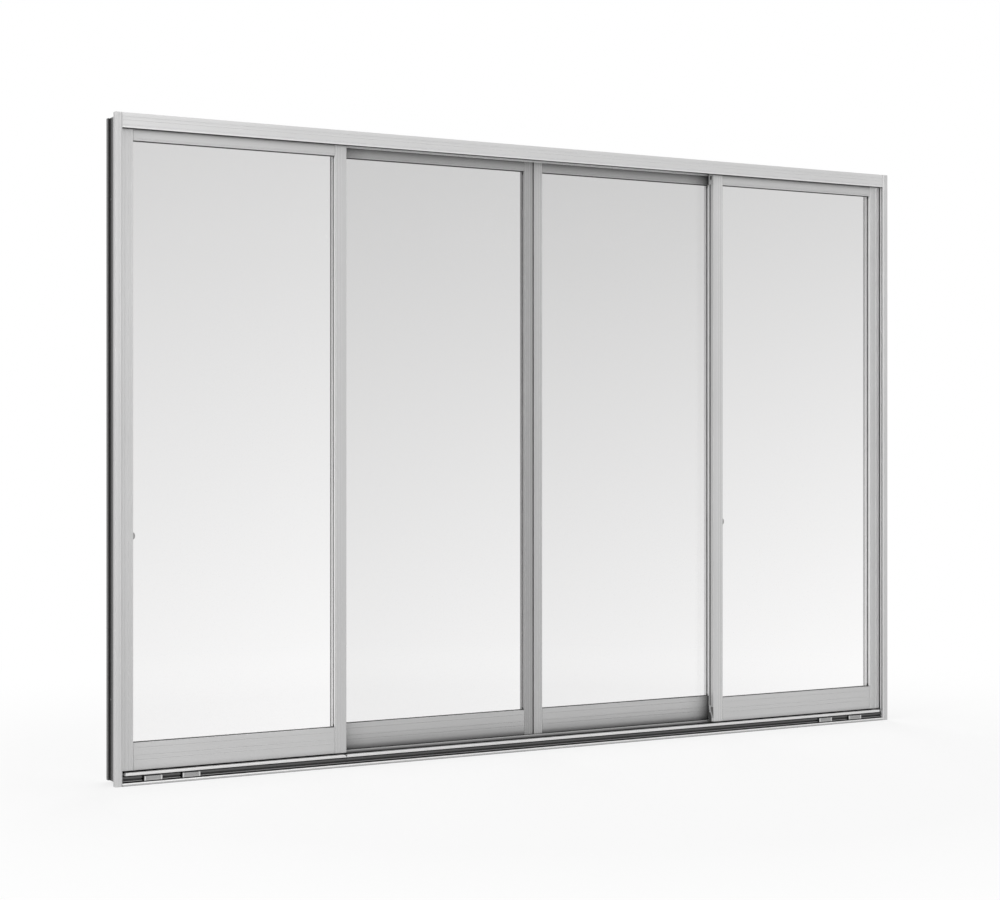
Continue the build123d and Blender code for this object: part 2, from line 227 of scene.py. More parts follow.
def edgeMask(tree, radius, sharpness):
    # 0 on flat faces, up to 1 along edges: how far the rounded normal leans from the true one
    rounded = add(tree, "ShaderNodeBevel", {"Radius": radius}, samples=4)
    true = add(tree, "ShaderNodeNewGeometry", out="Normal")
    lean = add(tree, "ShaderNodeVectorMath", {0: rounded, 1: true}, out="Value", operation="DOT_PRODUCT")
    return rounded, spread(tree, lean, 1.0, 1.0 - sharpness, 0.0, 1.0)


def paintLightAndShade(tree, coords, level, place):
    # paints light and shade into the level: inside the place's box it is scaled by share, or by a ramp from
    # share to past along one axis
    spot = splitCoords(tree, coords)
    if not place.get("oneSide"):
        spot[0] = calc(tree, "ABSOLUTE", spot[0])
    inside = 1.0
    for axis in range(3):
        inside = calc(tree, "MULTIPLY", inside, calc(tree, "GREATER_THAN", spot[axis], place["low"][axis]))
        inside = calc(tree, "MULTIPLY", inside, calc(tree, "LESS_THAN", spot[axis], place["high"][axis]))
    shade = place["share"]
    if "axis" in place:
        distance = calc(tree, "ABSOLUTE", calc(tree, "SUBTRACT", spot[place["axis"]], place["at"]))
        shade = spread(tree, distance, 0.0, place["reach"], place["share"], place["past"])
    change = calc(tree, "MULTIPLY", calc(tree, "SUBTRACT", shade, 1.0), inside)
    return calc(tree, "MULTIPLY", level, calc(tree, "ADD", change, 1.0))


# Satin anodised aluminium: drawn along the section, with broad faint bands, cloudy tone, and edges that are
# smoother and carry a painted highlight
aluminium = {
    "lineWidth": 0.0006,      # across the fine drawn lines
    "lineLength": 3.0,
    "bandWidth": 0.006,       # across the broad faint bands
    "bandLength": 40.0,
    "cloudSize": 0.35,
    "bandTone": 0.03,         # how much bands, clouds and lines change the colour
    "cloudTone": 0.02,
    "lineTone": 0.03,
    "metallic": 0.45,
    "roughness": 0.40,
    "roughSwing": 0.07,
    "edgeRadius": 0.0015,
    "edgeSharpness": 0.25,
    "edgeHighlight": 0.28,         # edges are this much brighter: a painted highlight
    "edgeSmooth": 0.08,       # and this much smoother
    "bump": 0.05,
    "bumpHeight": 0.0002,
}


def makeAluminium(name, along, tone, crease, paintedPlaces=()):
    # noise stretched along the drawing direction: fine lines in roughness and bump, bands in colour
    a = aluminium
    finish, tree = newFinish(name)
    coords = objectCoords(tree)
    line = [a["lineWidth"]] * 3
    band = [a["bandWidth"]] * 3
    line[along], band[along] = a["lineLength"], a["bandLength"]
    lines = noise(tree, coords, line, detail=3.0)
    bands = noise(tree, coords, band)
    clouds = noise(tree, coords, [a["cloudSize"]] * 3)
    rounded, edges = edgeMask(tree, a["edgeRadius"], a["edgeSharpness"])
    level = vary(tree, bands, tone * (1 - a["bandTone"]), tone * (1 + a["bandTone"]))
    level = varied(tree, level, clouds, a["cloudTone"])
    level = varied(tree, level, lines, a["lineTone"])
    # painted highlight along the edges
    level = calc(tree, "MULTIPLY_ADD", edges, a["edgeHighlight"], level)
    # painted shade in creases: darker where little of the half sphere above a point is open
    if crease:
        openPart = add(tree, "ShaderNodeAmbientOcclusion", {"Distance": crease["reach"]}, out="AO", samples=6)
        creaseShade = spread(tree, openPart, crease["from"], crease["upTo"], crease["tone"], 1.0)
        level = calc(tree, "MULTIPLY", level, creaseShade)
    # painted light and shade in the places of this kind of piece
    for place in paintedPlaces:
        level = paintLightAndShade(tree, coords, level, place)
    roughness = vary(tree, lines, a["roughness"] - a["roughSwing"], a["roughness"] + a["roughSwing"])
    roughness = calc(tree, "MULTIPLY_ADD", edges, -a["edgeSmooth"], roughness)
    addSurface(tree, level, roughness, bumped(tree, lines, a, rounded), metallic=a["metallic"])
    return finish


# Clear glass: it dims what shows through, most at the top of a pane, and adds its own mirror gloss. The
# dimming towards the top and the left of each pane is a painted reflection, and the deeper dimming of the
# back panes is painted shade
paneGlass = {
    "straightOn": 0.04,                      # share of light that each face mirrors when seen straight on
    "frontTop": 0.66, "frontFoot": 0.955,    # share of light that passes the whole pane
    "backTop": 0.60, "backFoot": 0.90,
    "acrossGain": 0.05,                      # a little clearer towards the right of each pane, as part of the painted reflection
    "clearest": 0.985,
    "speckle": 0.010, "speckleSize": 0.004,
    "waveSize": 0.4, "bump": 0.02, "bumpHeight": 0.001,
    "glossTone": 0.92, "glossRoughness": 0.03,
}


def makeGlass(name, node, top, foot):
    # each of the two faces passes the square root of the pane's share, which follows the height, and mirrors
    # straightOn + (1 - straightOn) * (1 - cos)^5, with cos of the angle between view and normal
    g = paneGlass
    low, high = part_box(node)
    finish, tree = newFinish(name)
    coords = objectCoords(tree)
    across, _, height = splitCoords(tree, coords)
    # painted reflection: the share falls towards the top of the pane, and towards its left
    share = spread(tree, height, low[2], high[2], foot, top)
    gain = spread(tree, across, low[0], high[0], 1 - g["acrossGain"] / 2, 1 + g["acrossGain"] / 2)
    share = calc(tree, "MULTIPLY", share, gain)
    share = varied(tree, share, noise(tree, coords, [g["speckleSize"]] * 3, detail=1.0), g["speckle"])
    perFace = calc(tree, "SQRT", calc(tree, "MINIMUM", share, g["clearest"]))
    clear = add(tree, "ShaderNodeBsdfTransparent", {"Color": greyShade(tree, perFace)})
    wave = noise(tree, coords, [g["waveSize"]] * 3, detail=1.0)
    glossTint = (g["glossTone"], g["glossTone"], g["glossTone"], 1)
    gloss = add(tree, "ShaderNodeBsdfGlossy", {"Color": glossTint, "Roughness": g["glossRoughness"],
                                               "Normal": bumped(tree, wave, g)})
    aslant = add(tree, "ShaderNodeLayerWeight", {"Blend": 0.5}, out="Facing")
    power = calc(tree, "POWER", aslant, 5.0)
    mirrored = calc(tree, "MULTIPLY_ADD", power, 1 - g["straightOn"], g["straightOn"])
    mixed = add(tree, "ShaderNodeMixShader", {0: mirrored, 1: clear, 2: gloss})
    add(tree, "ShaderNodeOutputMaterial", {"Surface": mixed})
    return finish


# Moulded and rubbed finishes: one recipe, told apart by its numbers
mouldings = {
    "gasketRubber": {"tone": 0.055, "roughness": 0.55, "grain": 0.0006, "swing": 0.3, "bump": 0.25},
    "sealRubber": {"tone": 0.035, "roughness": 0.62, "grain": 0.0005, "swing": 0.3, "bump": 0.3},
    "greyPlastic": {"tone": 0.33, "roughness": 0.45, "grain": 0.0009, "swing": 0.10, "bump": 0.18},
    "capPlastic": {"tone": 0.43, "roughness": 0.45, "grain": 0.0009, "swing": 0.10, "bump": 0.18},
    "paleFitting": {"tone": 0.52, "roughness": 0.40, "grain": 0.0009, "swing": 0.08, "bump": 0.15},
    "coverPlastic": {"tone": 0.66, "roughness": 0.42, "grain": 0.0009, "swing": 0.06, "bump": 0.12},
    # near black wheels, so that the gap under the bottom rails stays dark: painted shade
    "nylonWheel": {"tone": 0.05, "roughness": 0.38, "grain": 0.0008, "swing": 0.06, "bump": 0.12},
    "pileFibre": {"tone": 0.12, "roughness": 0.85, "grain": 0.0004, "swing": 0.6, "bump": 0.6,
                  "stretch": 6, "sheen": 0.3},      # grain that many times as wide as tall, and soft sheen
}
# edgeHighlight: edges brighter by this share of the tone, a painted highlight
mouldingCommon = {"driftSize": 0.05, "drift": 0.07, "edgeRadius": 0.0004, "edgeSharpness": 0.3,
                  "edgeHighlight": 0.35, "smoother": 0.06, "rougher": 0.08, "bumpHeight": 0.0002,
                  "stretch": 1, "sheen": 0.0}


def makeMoulding(name, paintedPlaces=()):
    # two sizes of noise: a fine grain in tone, roughness and bump, and a tone that drifts over the piece
    m = {**mouldingCommon, **mouldings[name]}
    finish, tree = newFinish(name)
    coords = objectCoords(tree)
    across = m["grain"] * m["stretch"]
    grain = noise(tree, coords, [across, across, m["grain"]], detail=3.0, rough=0.6)
    drift = noise(tree, coords, [m["driftSize"]] * 3)
    rounded, edges = edgeMask(tree, m["edgeRadius"], m["edgeSharpness"])
    level = vary(tree, grain, m["tone"] * (1 - m["swing"]), m["tone"] * (1 + m["swing"]))
    level = varied(tree, level, drift, m["drift"])
    # painted highlight along the edges
    level = calc(tree, "MULTIPLY_ADD", edges, m["tone"] * m["edgeHighlight"], level)
    # painted light and shade in the places of this kind of piece
    for place in paintedPlaces:
        level = paintLightAndShade(tree, coords, level, place)
    roughness = vary(tree, grain, m["roughness"] - m["smoother"], m["roughness"] + m["rougher"])
    addSurface(tree, level, roughness, bumped(tree, grain, m, rounded), sheen=m["sheen"])
    return finish


# Stainless steel of the running rails: brushed along X, with a polished track along the crown
railSteel = {"tone": 0.60, "roughness": 0.30, "trackRoughness": 0.14, "trackWidth": 0.0014,
             "lines": (0.3, 0.0004, 0.0004), "smears": (0.25, 0.01, 0.01), "lineTone": 0.07,
             "smearTone": 0.05, "roughSwing": 0.06, "bump": 0.08, "bumpHeight": 0.0002}


def makeRailSteel(name, railY):
    # lines along X; the roughness falls to trackRoughness within trackWidth of the crown of the rail
    s = railSteel
    finish, tree = newFinish(name)
    coords = objectCoords(tree)
    lines = noise(tree, coords, s["lines"], detail=3.0)
    smears = noise(tree, coords, s["smears"])
    away = calc(tree, "ABSOLUTE", calc(tree, "SUBTRACT", splitCoords(tree, coords)[1], railY))
    track = spread(tree, away, 0.0, s["trackWidth"], 1.0, 0.0)
    level = vary(tree, lines, s["tone"] * (1 - s["lineTone"]), s["tone"] * (1 + s["lineTone"]))
    level = varied(tree, level, smears, s["smearTone"])
    roughness = vary(tree, lines, s["roughness"] - s["roughSwing"], s["roughness"] + s["roughSwing"])
    polish = s["trackRoughness"] - s["roughness"]
    roughness = calc(tree, "MULTIPLY_ADD", track, polish, roughness, clamp=True)
    addSurface(tree, level, roughness, bumped(tree, lines, s), metallic=1.0)
    return finish


# Zinc-plated steel of the screws
zincPlate = {"crystals": 900.0, "darkTone": 0.36, "paleTone": 0.50, "grain": 0.0005, "grainTone": 0.1,
             "smooth": 0.25, "rough": 0.42, "bump": 0.1, "bumpHeight": 0.0001}


def makeZinc(name):
    # patches of crystals, each with its own tone and roughness, over fine noise
    s = zincPlate
    finish, tree = newFinish(name)
    coords = objectCoords(tree)
    cells = add(tree, "ShaderNodeTexVoronoi", {"Vector": coords, "Scale": s["crystals"]}, out="Color")
    patch = add(tree, "ShaderNodeSeparateColor", {0: cells})
    grain = noise(tree, coords, [s["grain"]] * 3)
    level = varied(tree, spread(tree, patch, 0.0, 1.0, s["darkTone"], s["paleTone"]), grain, s["grainTone"])
    roughness = spread(tree, patch, 0.0, 1.0, s["smooth"], s["rough"])
    addSurface(tree, level, roughness, bumped(tree, grain, s), metallic=1.0)
    return finish


# Linear greys of the aluminium, one for each kind of piece; they differ to stand for how the light falls on
# each, painted light and shade, darkest on the back panels and the meeting stile. Its creases carry painted
# shade: the tone falls to a share of itself where the open part of the half sphere above a point, within
# reach, goes down from upTo to from
tonesWithPaintedLight = {"head": 0.635, "jamb": 0.565, "sill": 0.66, "frontStile": 0.575, "frontRail": 0.56,
         "backStile": 0.47, "backRail": 0.51, "meetingStile": 0.345}
paintedCreaseShade = {
    "head": {"reach": 0.035, "from": 0.20, "upTo": 0.75, "tone": 0.06},
    "sill": {"reach": 0.035, "from": 0.20, "upTo": 0.75, "tone": 0.06},
    "jamb": {"reach": 0.005, "from": 0.10, "upTo": 0.60, "tone": 0.3},
    "frontRail": {"reach": 0.035, "from": 0.15, "upTo": 0.75, "tone": 0.1},
    "backRail": {"reach": 0.09, "from": 0.25, "upTo": 0.88, "tone": 0.10},
}

# Places where painted shade or painted light is put into a finish, by the kind of piece: darker where shade
# falls in channels, gutters, recesses and under or beside other parts, lighter where a face is left too dark
# or an edge without its highlight. Each is a box with |x|, y and z from low to high, or x itself with
# oneSide, in which the tone is scaled by share. Where it has an axis, the scale goes along that axis from
# share at the place at to past at the distance reach.
paintedLightAndShade = {
    # painted shade on the head's underside; painted highlight along its lower front edge and painted light on
    # the fin behind
    "head": {
        "underside": {"low": (0.0, -0.0524, 1.9965), "high": (1.4785, -0.0345, 1.9975), "share": 0.22},
        "lowerEdge": {"low": (0.0, -0.0526, 1.9965), "high": (1.4785, -0.0523, 2.0010), "share": 1.12},
        "fin": {"low": (0.0, 0.0045, 1.9965), "high": (1.4785, 0.0062, 2.012),
                "axis": 2, "at": 1.997, "reach": 0.01, "share": 1.5, "past": 1.4},
    },
    # painted shade in the gutter and down the front track; painted highlight on the lip's bevel and painted
    # light on the nosing's top
    "sill": {
        "gutterFloor": {"low": (0.0, -0.0526, 0.0020), "high": (1.478, -0.0372, 0.0238),
                        "axis": 2, "at": 0.0067, "reach": 0.0035, "share": 0.5, "past": 0.14},
        "lipBevel": {"low": (0.0, -0.0552, -0.0012), "high": (1.478, -0.0514, 0.0030), "share": 1.4},
        "nosing": {"low": (0.0, -0.0502, 0.0235), "high": (1.4665, -0.0345, 0.0325),
                   "axis": 2, "at": 0.032, "reach": 0.01, "share": 1.16, "past": 1.0},
        "frontTrack": {"low": (0.0, -0.0349, 0.002), "high": (1.4856, 0.0052, 0.0379),
                       "axis": 2, "at": 0.038, "reach": 0.011, "share": 1.0, "past": 0.04},
    },
    # painted shade in the jamb's outer channel and on its rear pad; painted light on the land between the
    # grooves and at the channel's mouth
    "jamb": {
        "wallChannel": {"low": (1.4872, -0.0345, 0.001), "high": (1.49315, 0.0372, 2.035),
                        "axis": 1, "at": 0.002, "reach": 0.024, "share": 0.27, "past": 0.06},
        "rearPad": {"low": (1.4929, 0.0365, -0.001), "high": (1.4935, 0.056, 2.037), "share": 0.19},
        "grooveLand": {"low": (1.4775, -0.0464, 0.0), "high": (1.4785, -0.0406, 1.997), "share": 1.6,
                       "oneSide": True},
        "channelMouth": {"low": (1.4850, -0.0352, 0.03), "high": (1.4862, -0.0285, 1.997), "share": 1.5,
                         "oneSide": True},
    },
    # painted light beside the right jamb and on the inner returns; painted shade on the face of panel 1's
    # lapping stile and on the side beside the foot guide
    "frontStile": {
        "rightCorner": {"low": (1.452, -0.0305, 0.0), "high": (1.4805, -0.0290, 2.02), "oneSide": True,
                        "axis": 0, "at": 1.480, "reach": 0.024, "share": 1.65, "past": 1.0},
        "leftLapFace": {"low": (-0.7620, -0.0305, 0.0), "high": (-0.7210, -0.0290, 2.02), "share": 0.93,
                        "oneSide": True},
        "besideGuide": {"low": (0.7210, -0.0296, 0.0365), "high": (0.7252, -0.0008, 0.0880),
                        "axis": 1, "at": -0.030, "reach": 0.030, "share": 0.45, "past": 0.16},
        "lapReturn": {"low": (0.7610, -0.0296, 0.03), "high": (0.7620, -0.0005, 2.02), "share": 1.55},
        "sideReturn": {"low": (1.4355, -0.0296, 0.03), "high": (1.4365, -0.0005, 2.02), "share": 1.5},
    },
    # painted light on the return of the back lapping stiles
    "backStile": {
        "lapReturn": {"low": (0.7305, 0.0125, 0.03), "high": (0.7315, 0.0415, 2.02), "share": 1.8},
    },
    # painted shade at the foot of the back rails
    "backRail": {
        "foot": {"low": (0.0, 0.0115, 0.0385), "high": (1.5, 0.0125, 0.0555),
                 "axis": 2, "at": 0.039, "reach": 0.016, "share": 0.42, "past": 1.0},
    },
    # painted light: the upright sides of the gasket lips much lighter
    "gasketRubber": {
        "uprights": {"low": (0.0, -0.06, 0.130), "high": (1.5, 0.06, 1.955), "share": 8.0},
    },
    # painted light: the rear strip in the right jamb lighter
    "sealRubber": {
        "rearJambStrip": {"low": (1.4770, -0.0420, 0.0), "high": (1.4830, -0.0345, 1.995), "share": 3.0,
                          "oneSide": True},
    },
    # painted shade in the recessed middle of the drain covers
    "coverPlastic": {
        "recess": {"low": (0.0, -0.0495, 0.004), "high": (1.478, -0.0455, 0.020),
                   "axis": 2, "at": 0.005, "reach": 0.014, "share": 0.62, "past": 0.56},
    },
}


# the places of painted light and shade for one kind of piece
def paintedPlacesFor(kind):
    return paintedLightAndShade.get(kind, {}).values()


alongX, alongZ = 0, 2
sections = (("head", "anodisedHead", alongX), ("sill", "anodisedSill", alongX),
            ("jamb", "anodisedJamb", alongZ), ("meetingStile", "meetingStile", alongZ),
            ("frontRail", "frontRail", alongX), ("frontStile", "frontStile", alongZ),
            ("backRail", "backRail", alongX), ("backStile", "backStile", alongZ))
metal = {kind: makeAluminium(name, along, tonesWithPaintedLight[kind], paintedCreaseShade.get(kind), paintedPlacesFor(kind))
         for kind, name, along in sections}
moulded = {name: makeMoulding(name, paintedPlacesFor(name)) for name in mouldings}
zinc = makeZinc("zincPlate")
print("finishes made")

layerOf = {1: "front", 2: "back", 3: "back", 4: "front"}


def finishFor(node):
    # the finish of a node, from its name
    if node.startswith("panel_"):
        number = int(node[6])
        layer = layerOf[number]
        if node.endswith("glass"):
            return makeGlass(f"paneGlass{number}", node, paneGlass[layer + "Top"], paneGlass[layer + "Foot"])
        if node.endswith("rail"):
            return metal[layer + "Rail"]
        if node.endswith("stile"):
            # panel 2's right stile takes the darker meeting-stile finish: painted shade
            return metal["meetingStile" if node == "panel_2_right_stile" else layer + "Stile"]
        if node.endswith("rollers"):
            return moulded["nylonWheel"]
        return moulded["sealRubber" if "seal" in node or "gasket" in node else "greyPlastic"]
    if "seals" in node:
        return moulded["sealRubber"]
    if node.endswith("cap"):
        low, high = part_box(node)
        return makeRailSteel(node + "Steel", (low[1] + high[1]) / 2)
    if node.endswith("jamb"):
        return metal["jamb"]
    return moulded["greyPlastic"] if node == "drain_covers" else metal[node]


for nodeName, nodeObject in nodes.items():
    finish = finishFor(nodeName)
    if nodeObject.material_slots:
        for slot in nodeObject.material_slots:
            slot.material = finish
    else:
        nodeObject.data.materials.append(finish)
print("finishes put on the nodes")


# Glazing gaskets: a soft lip all round each pane, in front of the glass and behind it
gasket = {"paneBite": 8.0, "bite": 5.8, "frontLip": 2.6, "rearLip": 0.6, "sideShare": 0.2, "frontTall": 1.6,
          "rearTall": 0.8, "lift": 0.05, "cornerRadius": 0.2, "cornerRound": 1.3, "cornerSteps": 5,
          "lipSteps": 6}


def gasketRing(glassNode, facing):
    # profile: a quarter ellipse (lip sin t, tall cos t) on a flat back, carried round the opening;
    # a point u inside the opening turns each corner on a radius of cornerRadius + cornerRound * u, and stands
    # sideShare * u inside the upright sides
    g = gasket
    low, high = boxOf(glassNode)
    lip, tall = (g["frontLip"], g["frontTall"]) if facing < 0 else (g["rearLip"], g["rearTall"])
    t = np.linspace(0, np.pi / 2, g["lipSteps"] + 1)
    u = np.concatenate([[-g["bite"], -g["bite"]], lip * np.sin(t)])
    v = np.concatenate([[g["lift"], tall], tall * np.cos(t) + g["lift"]])
    radius = g["cornerRadius"] + g["cornerRound"] * np.maximum(u, 0)
    a, sideX, sideZ = (part[:, None] for part in fourCorners(g["cornerSteps"]))
    halfX = (high[0] - low[0]) / 2 - g["paneBite"] - np.where(u > 0, g["sideShare"] * u, u) - radius
    halfZ = (high[2] - low[2]) / 2 - g["paneBite"] - u - radius
    x = (low[0] + high[0]) / 2 + sideX * halfX + radius * np.cos(a)
    z = (low[2] + high[2]) / 2 + sideZ * halfZ + radius * np.sin(a)
    glassY = low[1] if facing < 0 else high[1]
    return skin(ringStack(x, glassY + facing * v, z), loop=True)


for number in layerOf:
    pane = f"panel_{number}_glass"
    rings = [gasketRing(pane, facing) for facing in (-1, 1)]
    putPiece(f"panel{number}GasketLips", rings, moulded["gasketRubber"], f"panel_{number}",
             stands=[f"panel_{number}_gasket"])
print("gasket lips made")


# Side groove of the lapping stiles: its middle behind the panel's face, its depth, and its two guides
groove = {"middle": 22.0, "deep": 3.0, "root": 2.6, "footTall": 56.0, "headTall": 47.0}
lapSides = {1: ("right_stile", 1), 2: ("left_stile", -1), 3: ("right_stile", 1), 4: ("left_stile", -1)}


def lapEdge(number):
    # outer edge, direction into the stile, face, foot and head of a lapping stile
    part, outside = lapSides[number]
    low, high = boxOf(f"panel_{number}_{part}")
    edge = high[0] if outside > 0 else low[0]
    return edge, -outside, low[1], low[2], high[2]


# Pile seals in the grooves, between the foot guide and the head guide
pile = {"backing": 0.9, "backingHalf": 4.4, "pileHalf": 2.6, "waist": 0.8, "crown": 0.6, "tipRound": 0.5,
        "recess": 0.7, "wave": 0.35, "station": 7.0, "inset": 0.4}


def pileStrip(edge, inwards, grooveY, low, high):
    # T-shaped profile carried up the groove; the tips of its pile move in and out by
    # wave * (sin 0.9 z + sin 0.37 z + sin 2.1 z) / 3
    p = pile
    z = np.linspace(low, high, int((high - low) / p["station"]))[:, None]
    floor = groove["deep"] - p["inset"]
    backed = floor - p["backing"]
    tip, shoulder = p["recess"], p["recess"] + p["tipRound"]
    depth = np.array([floor, backed, backed, shoulder, tip, tip, tip, shoulder, backed, backed, floor])
    half, foot = p["pileHalf"], p["backingHalf"]
    waist, crown = half * p["waist"], half * p["crown"]
    across = np.array([-foot, -foot, -waist, -half, -crown, 0.0, crown, half, waist, foot, foot])
    ripple = p["wave"] * (np.sin(0.9 * z) + np.sin(0.37 * z) + np.sin(2.1 * z)) / 3
    isTip = (depth <= shoulder)[None, :]
    x = edge + inwards * (depth[None, :] + np.where(isTip, ripple, 0.0))
    return skin(ringStack(x, grooveY + across[None, :], z))


for number in layerOf:
    edge, inwards, faceY, foot, top = lapEdge(number)
    strip = pileStrip(edge, inwards, faceY + groove["middle"], foot + groove["footTall"],
                      top - groove["headTall"])
    putPiece(f"panel{number}PileSeal", [strip], moulded["pileFibre"], f"panel_{number}")
print("pile seals made")


# Foot and head guides of the lapping stiles: an S-shaped slider at the foot and a holed cap at the head
footGuide = {"halfWidth": 4.0, "proud": 1.4, "corner": 0.8, "waist": 0.25, "footGap": 0.5, "stations": 28,
             "cornerSteps": 3, "topY": 22.0, "bottomY": 6.5, "bendFrom": 0.15, "bendTo": 0.80}
guideShoe = {"tall": 13.0, "lift": 0.4, "half": 4.4, "corner": 1.4, "bevel": 0.6, "proud": 1.5, "edge": 0.9,
             "root": 1.0}
guideRibs = {"heights": (44.0, 34.0), "tall": 5.0, "half": 3.2, "thick": 1.12, "sunk": 0.1, "lean": 0.12,
             "points": 9}
headCap = {"tall": 39.0, "slope": 3.0, "front": 1.0, "back": 28.5, "topGap": 0.4, "proud": 1.3, "root": 0.6,
           "bevel": 0.5, "holeY": 15.5, "holeDown": 24.5, "holeHalfWidth": 5.2, "holeHalfTall": 7.0,
           "holeFlare": 1.08, "holeSunk": 0.4, "rays": 64}
shadePlug = {"rings": ((0.1, 0.1), (0.6, 0.2), (1.15, 0.35), (1.15, -0.5)),    # share of the hole, height
            "points": 32}
headStalk = {"half": 4.6, "face": 0.6, "corner": 0.8, "cornerSteps": 3, "topGap": 0.5}


def sliderShell(edge, inwards, faceY, foot):
    # round-cornered profile whose middle goes from topY to bottomY by 3 s^2 - 2 s^3 on its way down,
    # drawn in by waist * sin^2 in the middle of its height
    g = footGuide
    outline = roundBox(-g["halfWidth"], g["halfWidth"], -groove["root"], g["proud"], g["corner"],
                       g["cornerSteps"])
    share = np.linspace(0, 1, g["stations"])[:, None]
    s = np.clip((share - g["bendFrom"]) / (g["bendTo"] - g["bendFrom"]), 0, 1)
    middle = g["topY"] + (g["bottomY"] - g["topY"]) * (3 * s ** 2 - 2 * s ** 3)
    taper = 1 - g["waist"] * np.sin(np.pi * share) ** 2
    y = faceY + middle + outline[:, 0] * taper
    z = foot + groove["footTall"] * (1 - share) + g["footGap"] * share
    return skin(ringStack(edge - inwards * outline[:, 1], y, z))


def shoeShell(edge, inwards, faceY, foot):
    # block under the slider: round-cornered outline in Y and Z, its rim drawn in by a bevel
    g = guideShoe
    middle = footGuide["bottomY"]
    rows = []
    for grow, out in ((-g["bevel"], g["proud"]), (0.0, g["edge"]), (0.0, -g["root"])):
        ring = roundBox(middle - g["half"] - grow, middle + g["half"] + grow, g["lift"] - grow,
                        g["tall"] + grow, g["corner"])
        rows.append(ringStack(edge - inwards * out, faceY + ring[:, 0], foot + ring[:, 1]))
    return skin(np.stack(rows))


def ribShells(edge, inwards, faceY, foot):
    # two half-round ribs across the top of the slider: (thick cos a, tall / 2 sin a)
    g = guideRibs
    a = np.linspace(-np.pi / 2, np.pi / 2, g["points"])
    shells = []
    for high in g["heights"]:
        out = footGuide["proud"] + g["thick"] * np.cos(a) - g["sunk"]
        middle = footGuide["topY"] - (groove["footTall"] - high) * g["lean"]
        y = faceY + middle + np.array([-g["half"], g["half"]])[:, None]
        shells.append(skin(ringStack(edge - inwards * out, y, foot + high + g["tall"] / 2 * np.sin(a))))
    return shells


def holedCap(edge, inwards, faceY, top):
    # plate round an oblong hole: along each ray from the hole's middle the outline lies at the least of
    # distance / cos(angle to that side) over its four sides, the lower one sloping; the hole is the curve
    # |cos|^0.5 and |sin|^0.5 of the same angle, times its half width and half height
    c = headCap
    midY, midZ = c["holeY"], -c["holeDown"]
    slopeAngle = np.arctan2(c["slope"], c["back"] - c["front"])
    sides = np.array([0.0, np.pi / 2, np.pi, 1.5 * np.pi + slopeAngle])
    lowerMid = -c["tall"] + c["slope"] / 2
    centreY = (c["front"] + c["back"]) / 2
    toLower = (midZ - lowerMid) * np.cos(slopeAngle) + (centreY - midY) * np.sin(slopeAngle)
    reach = np.array([c["back"] - midY, c["holeDown"] - c["topGap"], midY - c["front"], toLower])
    rays = np.linspace(0, 2 * np.pi, c["rays"], endpoint=False)[:, None]
    lean = np.cos(rays - sides)
    leastLean, far = 0.02, 1e3                       # sides that a ray hardly faces don't count
    outer = np.min(np.where(lean > leastLean, reach / np.maximum(lean, leastLean), far), axis=1)[:, None]
    holeY = c["holeHalfWidth"] * np.sign(np.cos(rays)) * np.abs(np.cos(rays)) ** 0.5
    holeZ = c["holeHalfTall"] * np.sign(np.sin(rays)) * np.abs(np.sin(rays)) ** 0.5
    rimY, rimZ = outer * np.cos(rays), outer * np.sin(rays)
    inner, flare = 1 - c["bevel"] / outer, c["holeFlare"]
    y = np.concatenate([holeY, holeY * flare, rimY * inner, rimY, rimY, holeY], axis=1)
    z = np.concatenate([holeZ, holeZ * flare, rimZ * inner, rimZ, rimZ, holeZ], axis=1)
    out = np.array([c["proud"] - c["holeSunk"], c["proud"], c["proud"], c["proud"] - c["bevel"],
                    -c["root"], -c["root"]])
    return skin(ringStack(edge - inwards * out, faceY + midY + y, top + midZ + z), loop=True)


def capShadePlug(edge, inwards, faceY, top):
    # a near-black dished plug in the hole, painted shade standing for its dark inside: rings (r cos a, r sin
    # a) times the hole's half width and half height
    c = headCap
    a = np.linspace(0, 2 * np.pi, shadePlug["points"], endpoint=False)
    rows = []
    for r, out in shadePlug["rings"]:
        rows.append(ringStack(edge - inwards * out, faceY + c["holeY"] + r * c["holeHalfWidth"] * np.cos(a),
                              top - c["holeDown"] + r * c["holeHalfTall"] * np.sin(a)))
    return skin(np.stack(rows))


def stalkShell(edge, inwards, faceY, top):
    # stalk of the head guide inside the groove: a round-cornered outline carried down from the head
    g = headStalk
    outline = roundBox(-g["half"], g["half"], -groove["root"], -g["face"], g["corner"], g["cornerSteps"])
    z = np.array([top - groove["headTall"], top - g["topGap"]])[:, None]
    return skin(ringStack(edge - inwards * outline[:, 1], faceY + groove["middle"] + outline[:, 0], z))


for number in layerOf:
    edge, inwards, faceY, foot, top = lapEdge(number)
    body = f"panel_{number}"
    shells = [sliderShell(edge, inwards, faceY, foot), stalkShell(edge, inwards, faceY, top)]
    shells += ribShells(edge, inwards, faceY, foot)
    putPiece(f"panel{number}SliderGuides", shells, moulded["paleFitting"], body,
             stands=[f"panel_{number}_guides"])
    # a near-black plug behind the hole in the head cap: painted shade
    putPiece(f"panel{number}CapShadePlug", [capShadePlug(edge, inwards, faceY, top)], moulded["sealRubber"], body)
    putPiece(f"panel{number}GuideShoe", [shoeShell(edge, inwards, faceY, foot)], moulded["coverPlastic"],
             body)
    putPiece(f"panel{number}HeadCap", [holedCap(edge, inwards, faceY, top)], moulded["capPlastic"], body)
print("guides and caps made")


# Thumb latches: half-round button with ribs round its rim, on the inner edge of two stiles
latchButton = {"reach": 6.9, "halfHeight": 10.9, "ribs": 44, "ribDepth": 0.22, "rim": 1.1, "dishInset": 2.42,
               "dish": 0.5, "steps": 89, "rimSteps": 5}


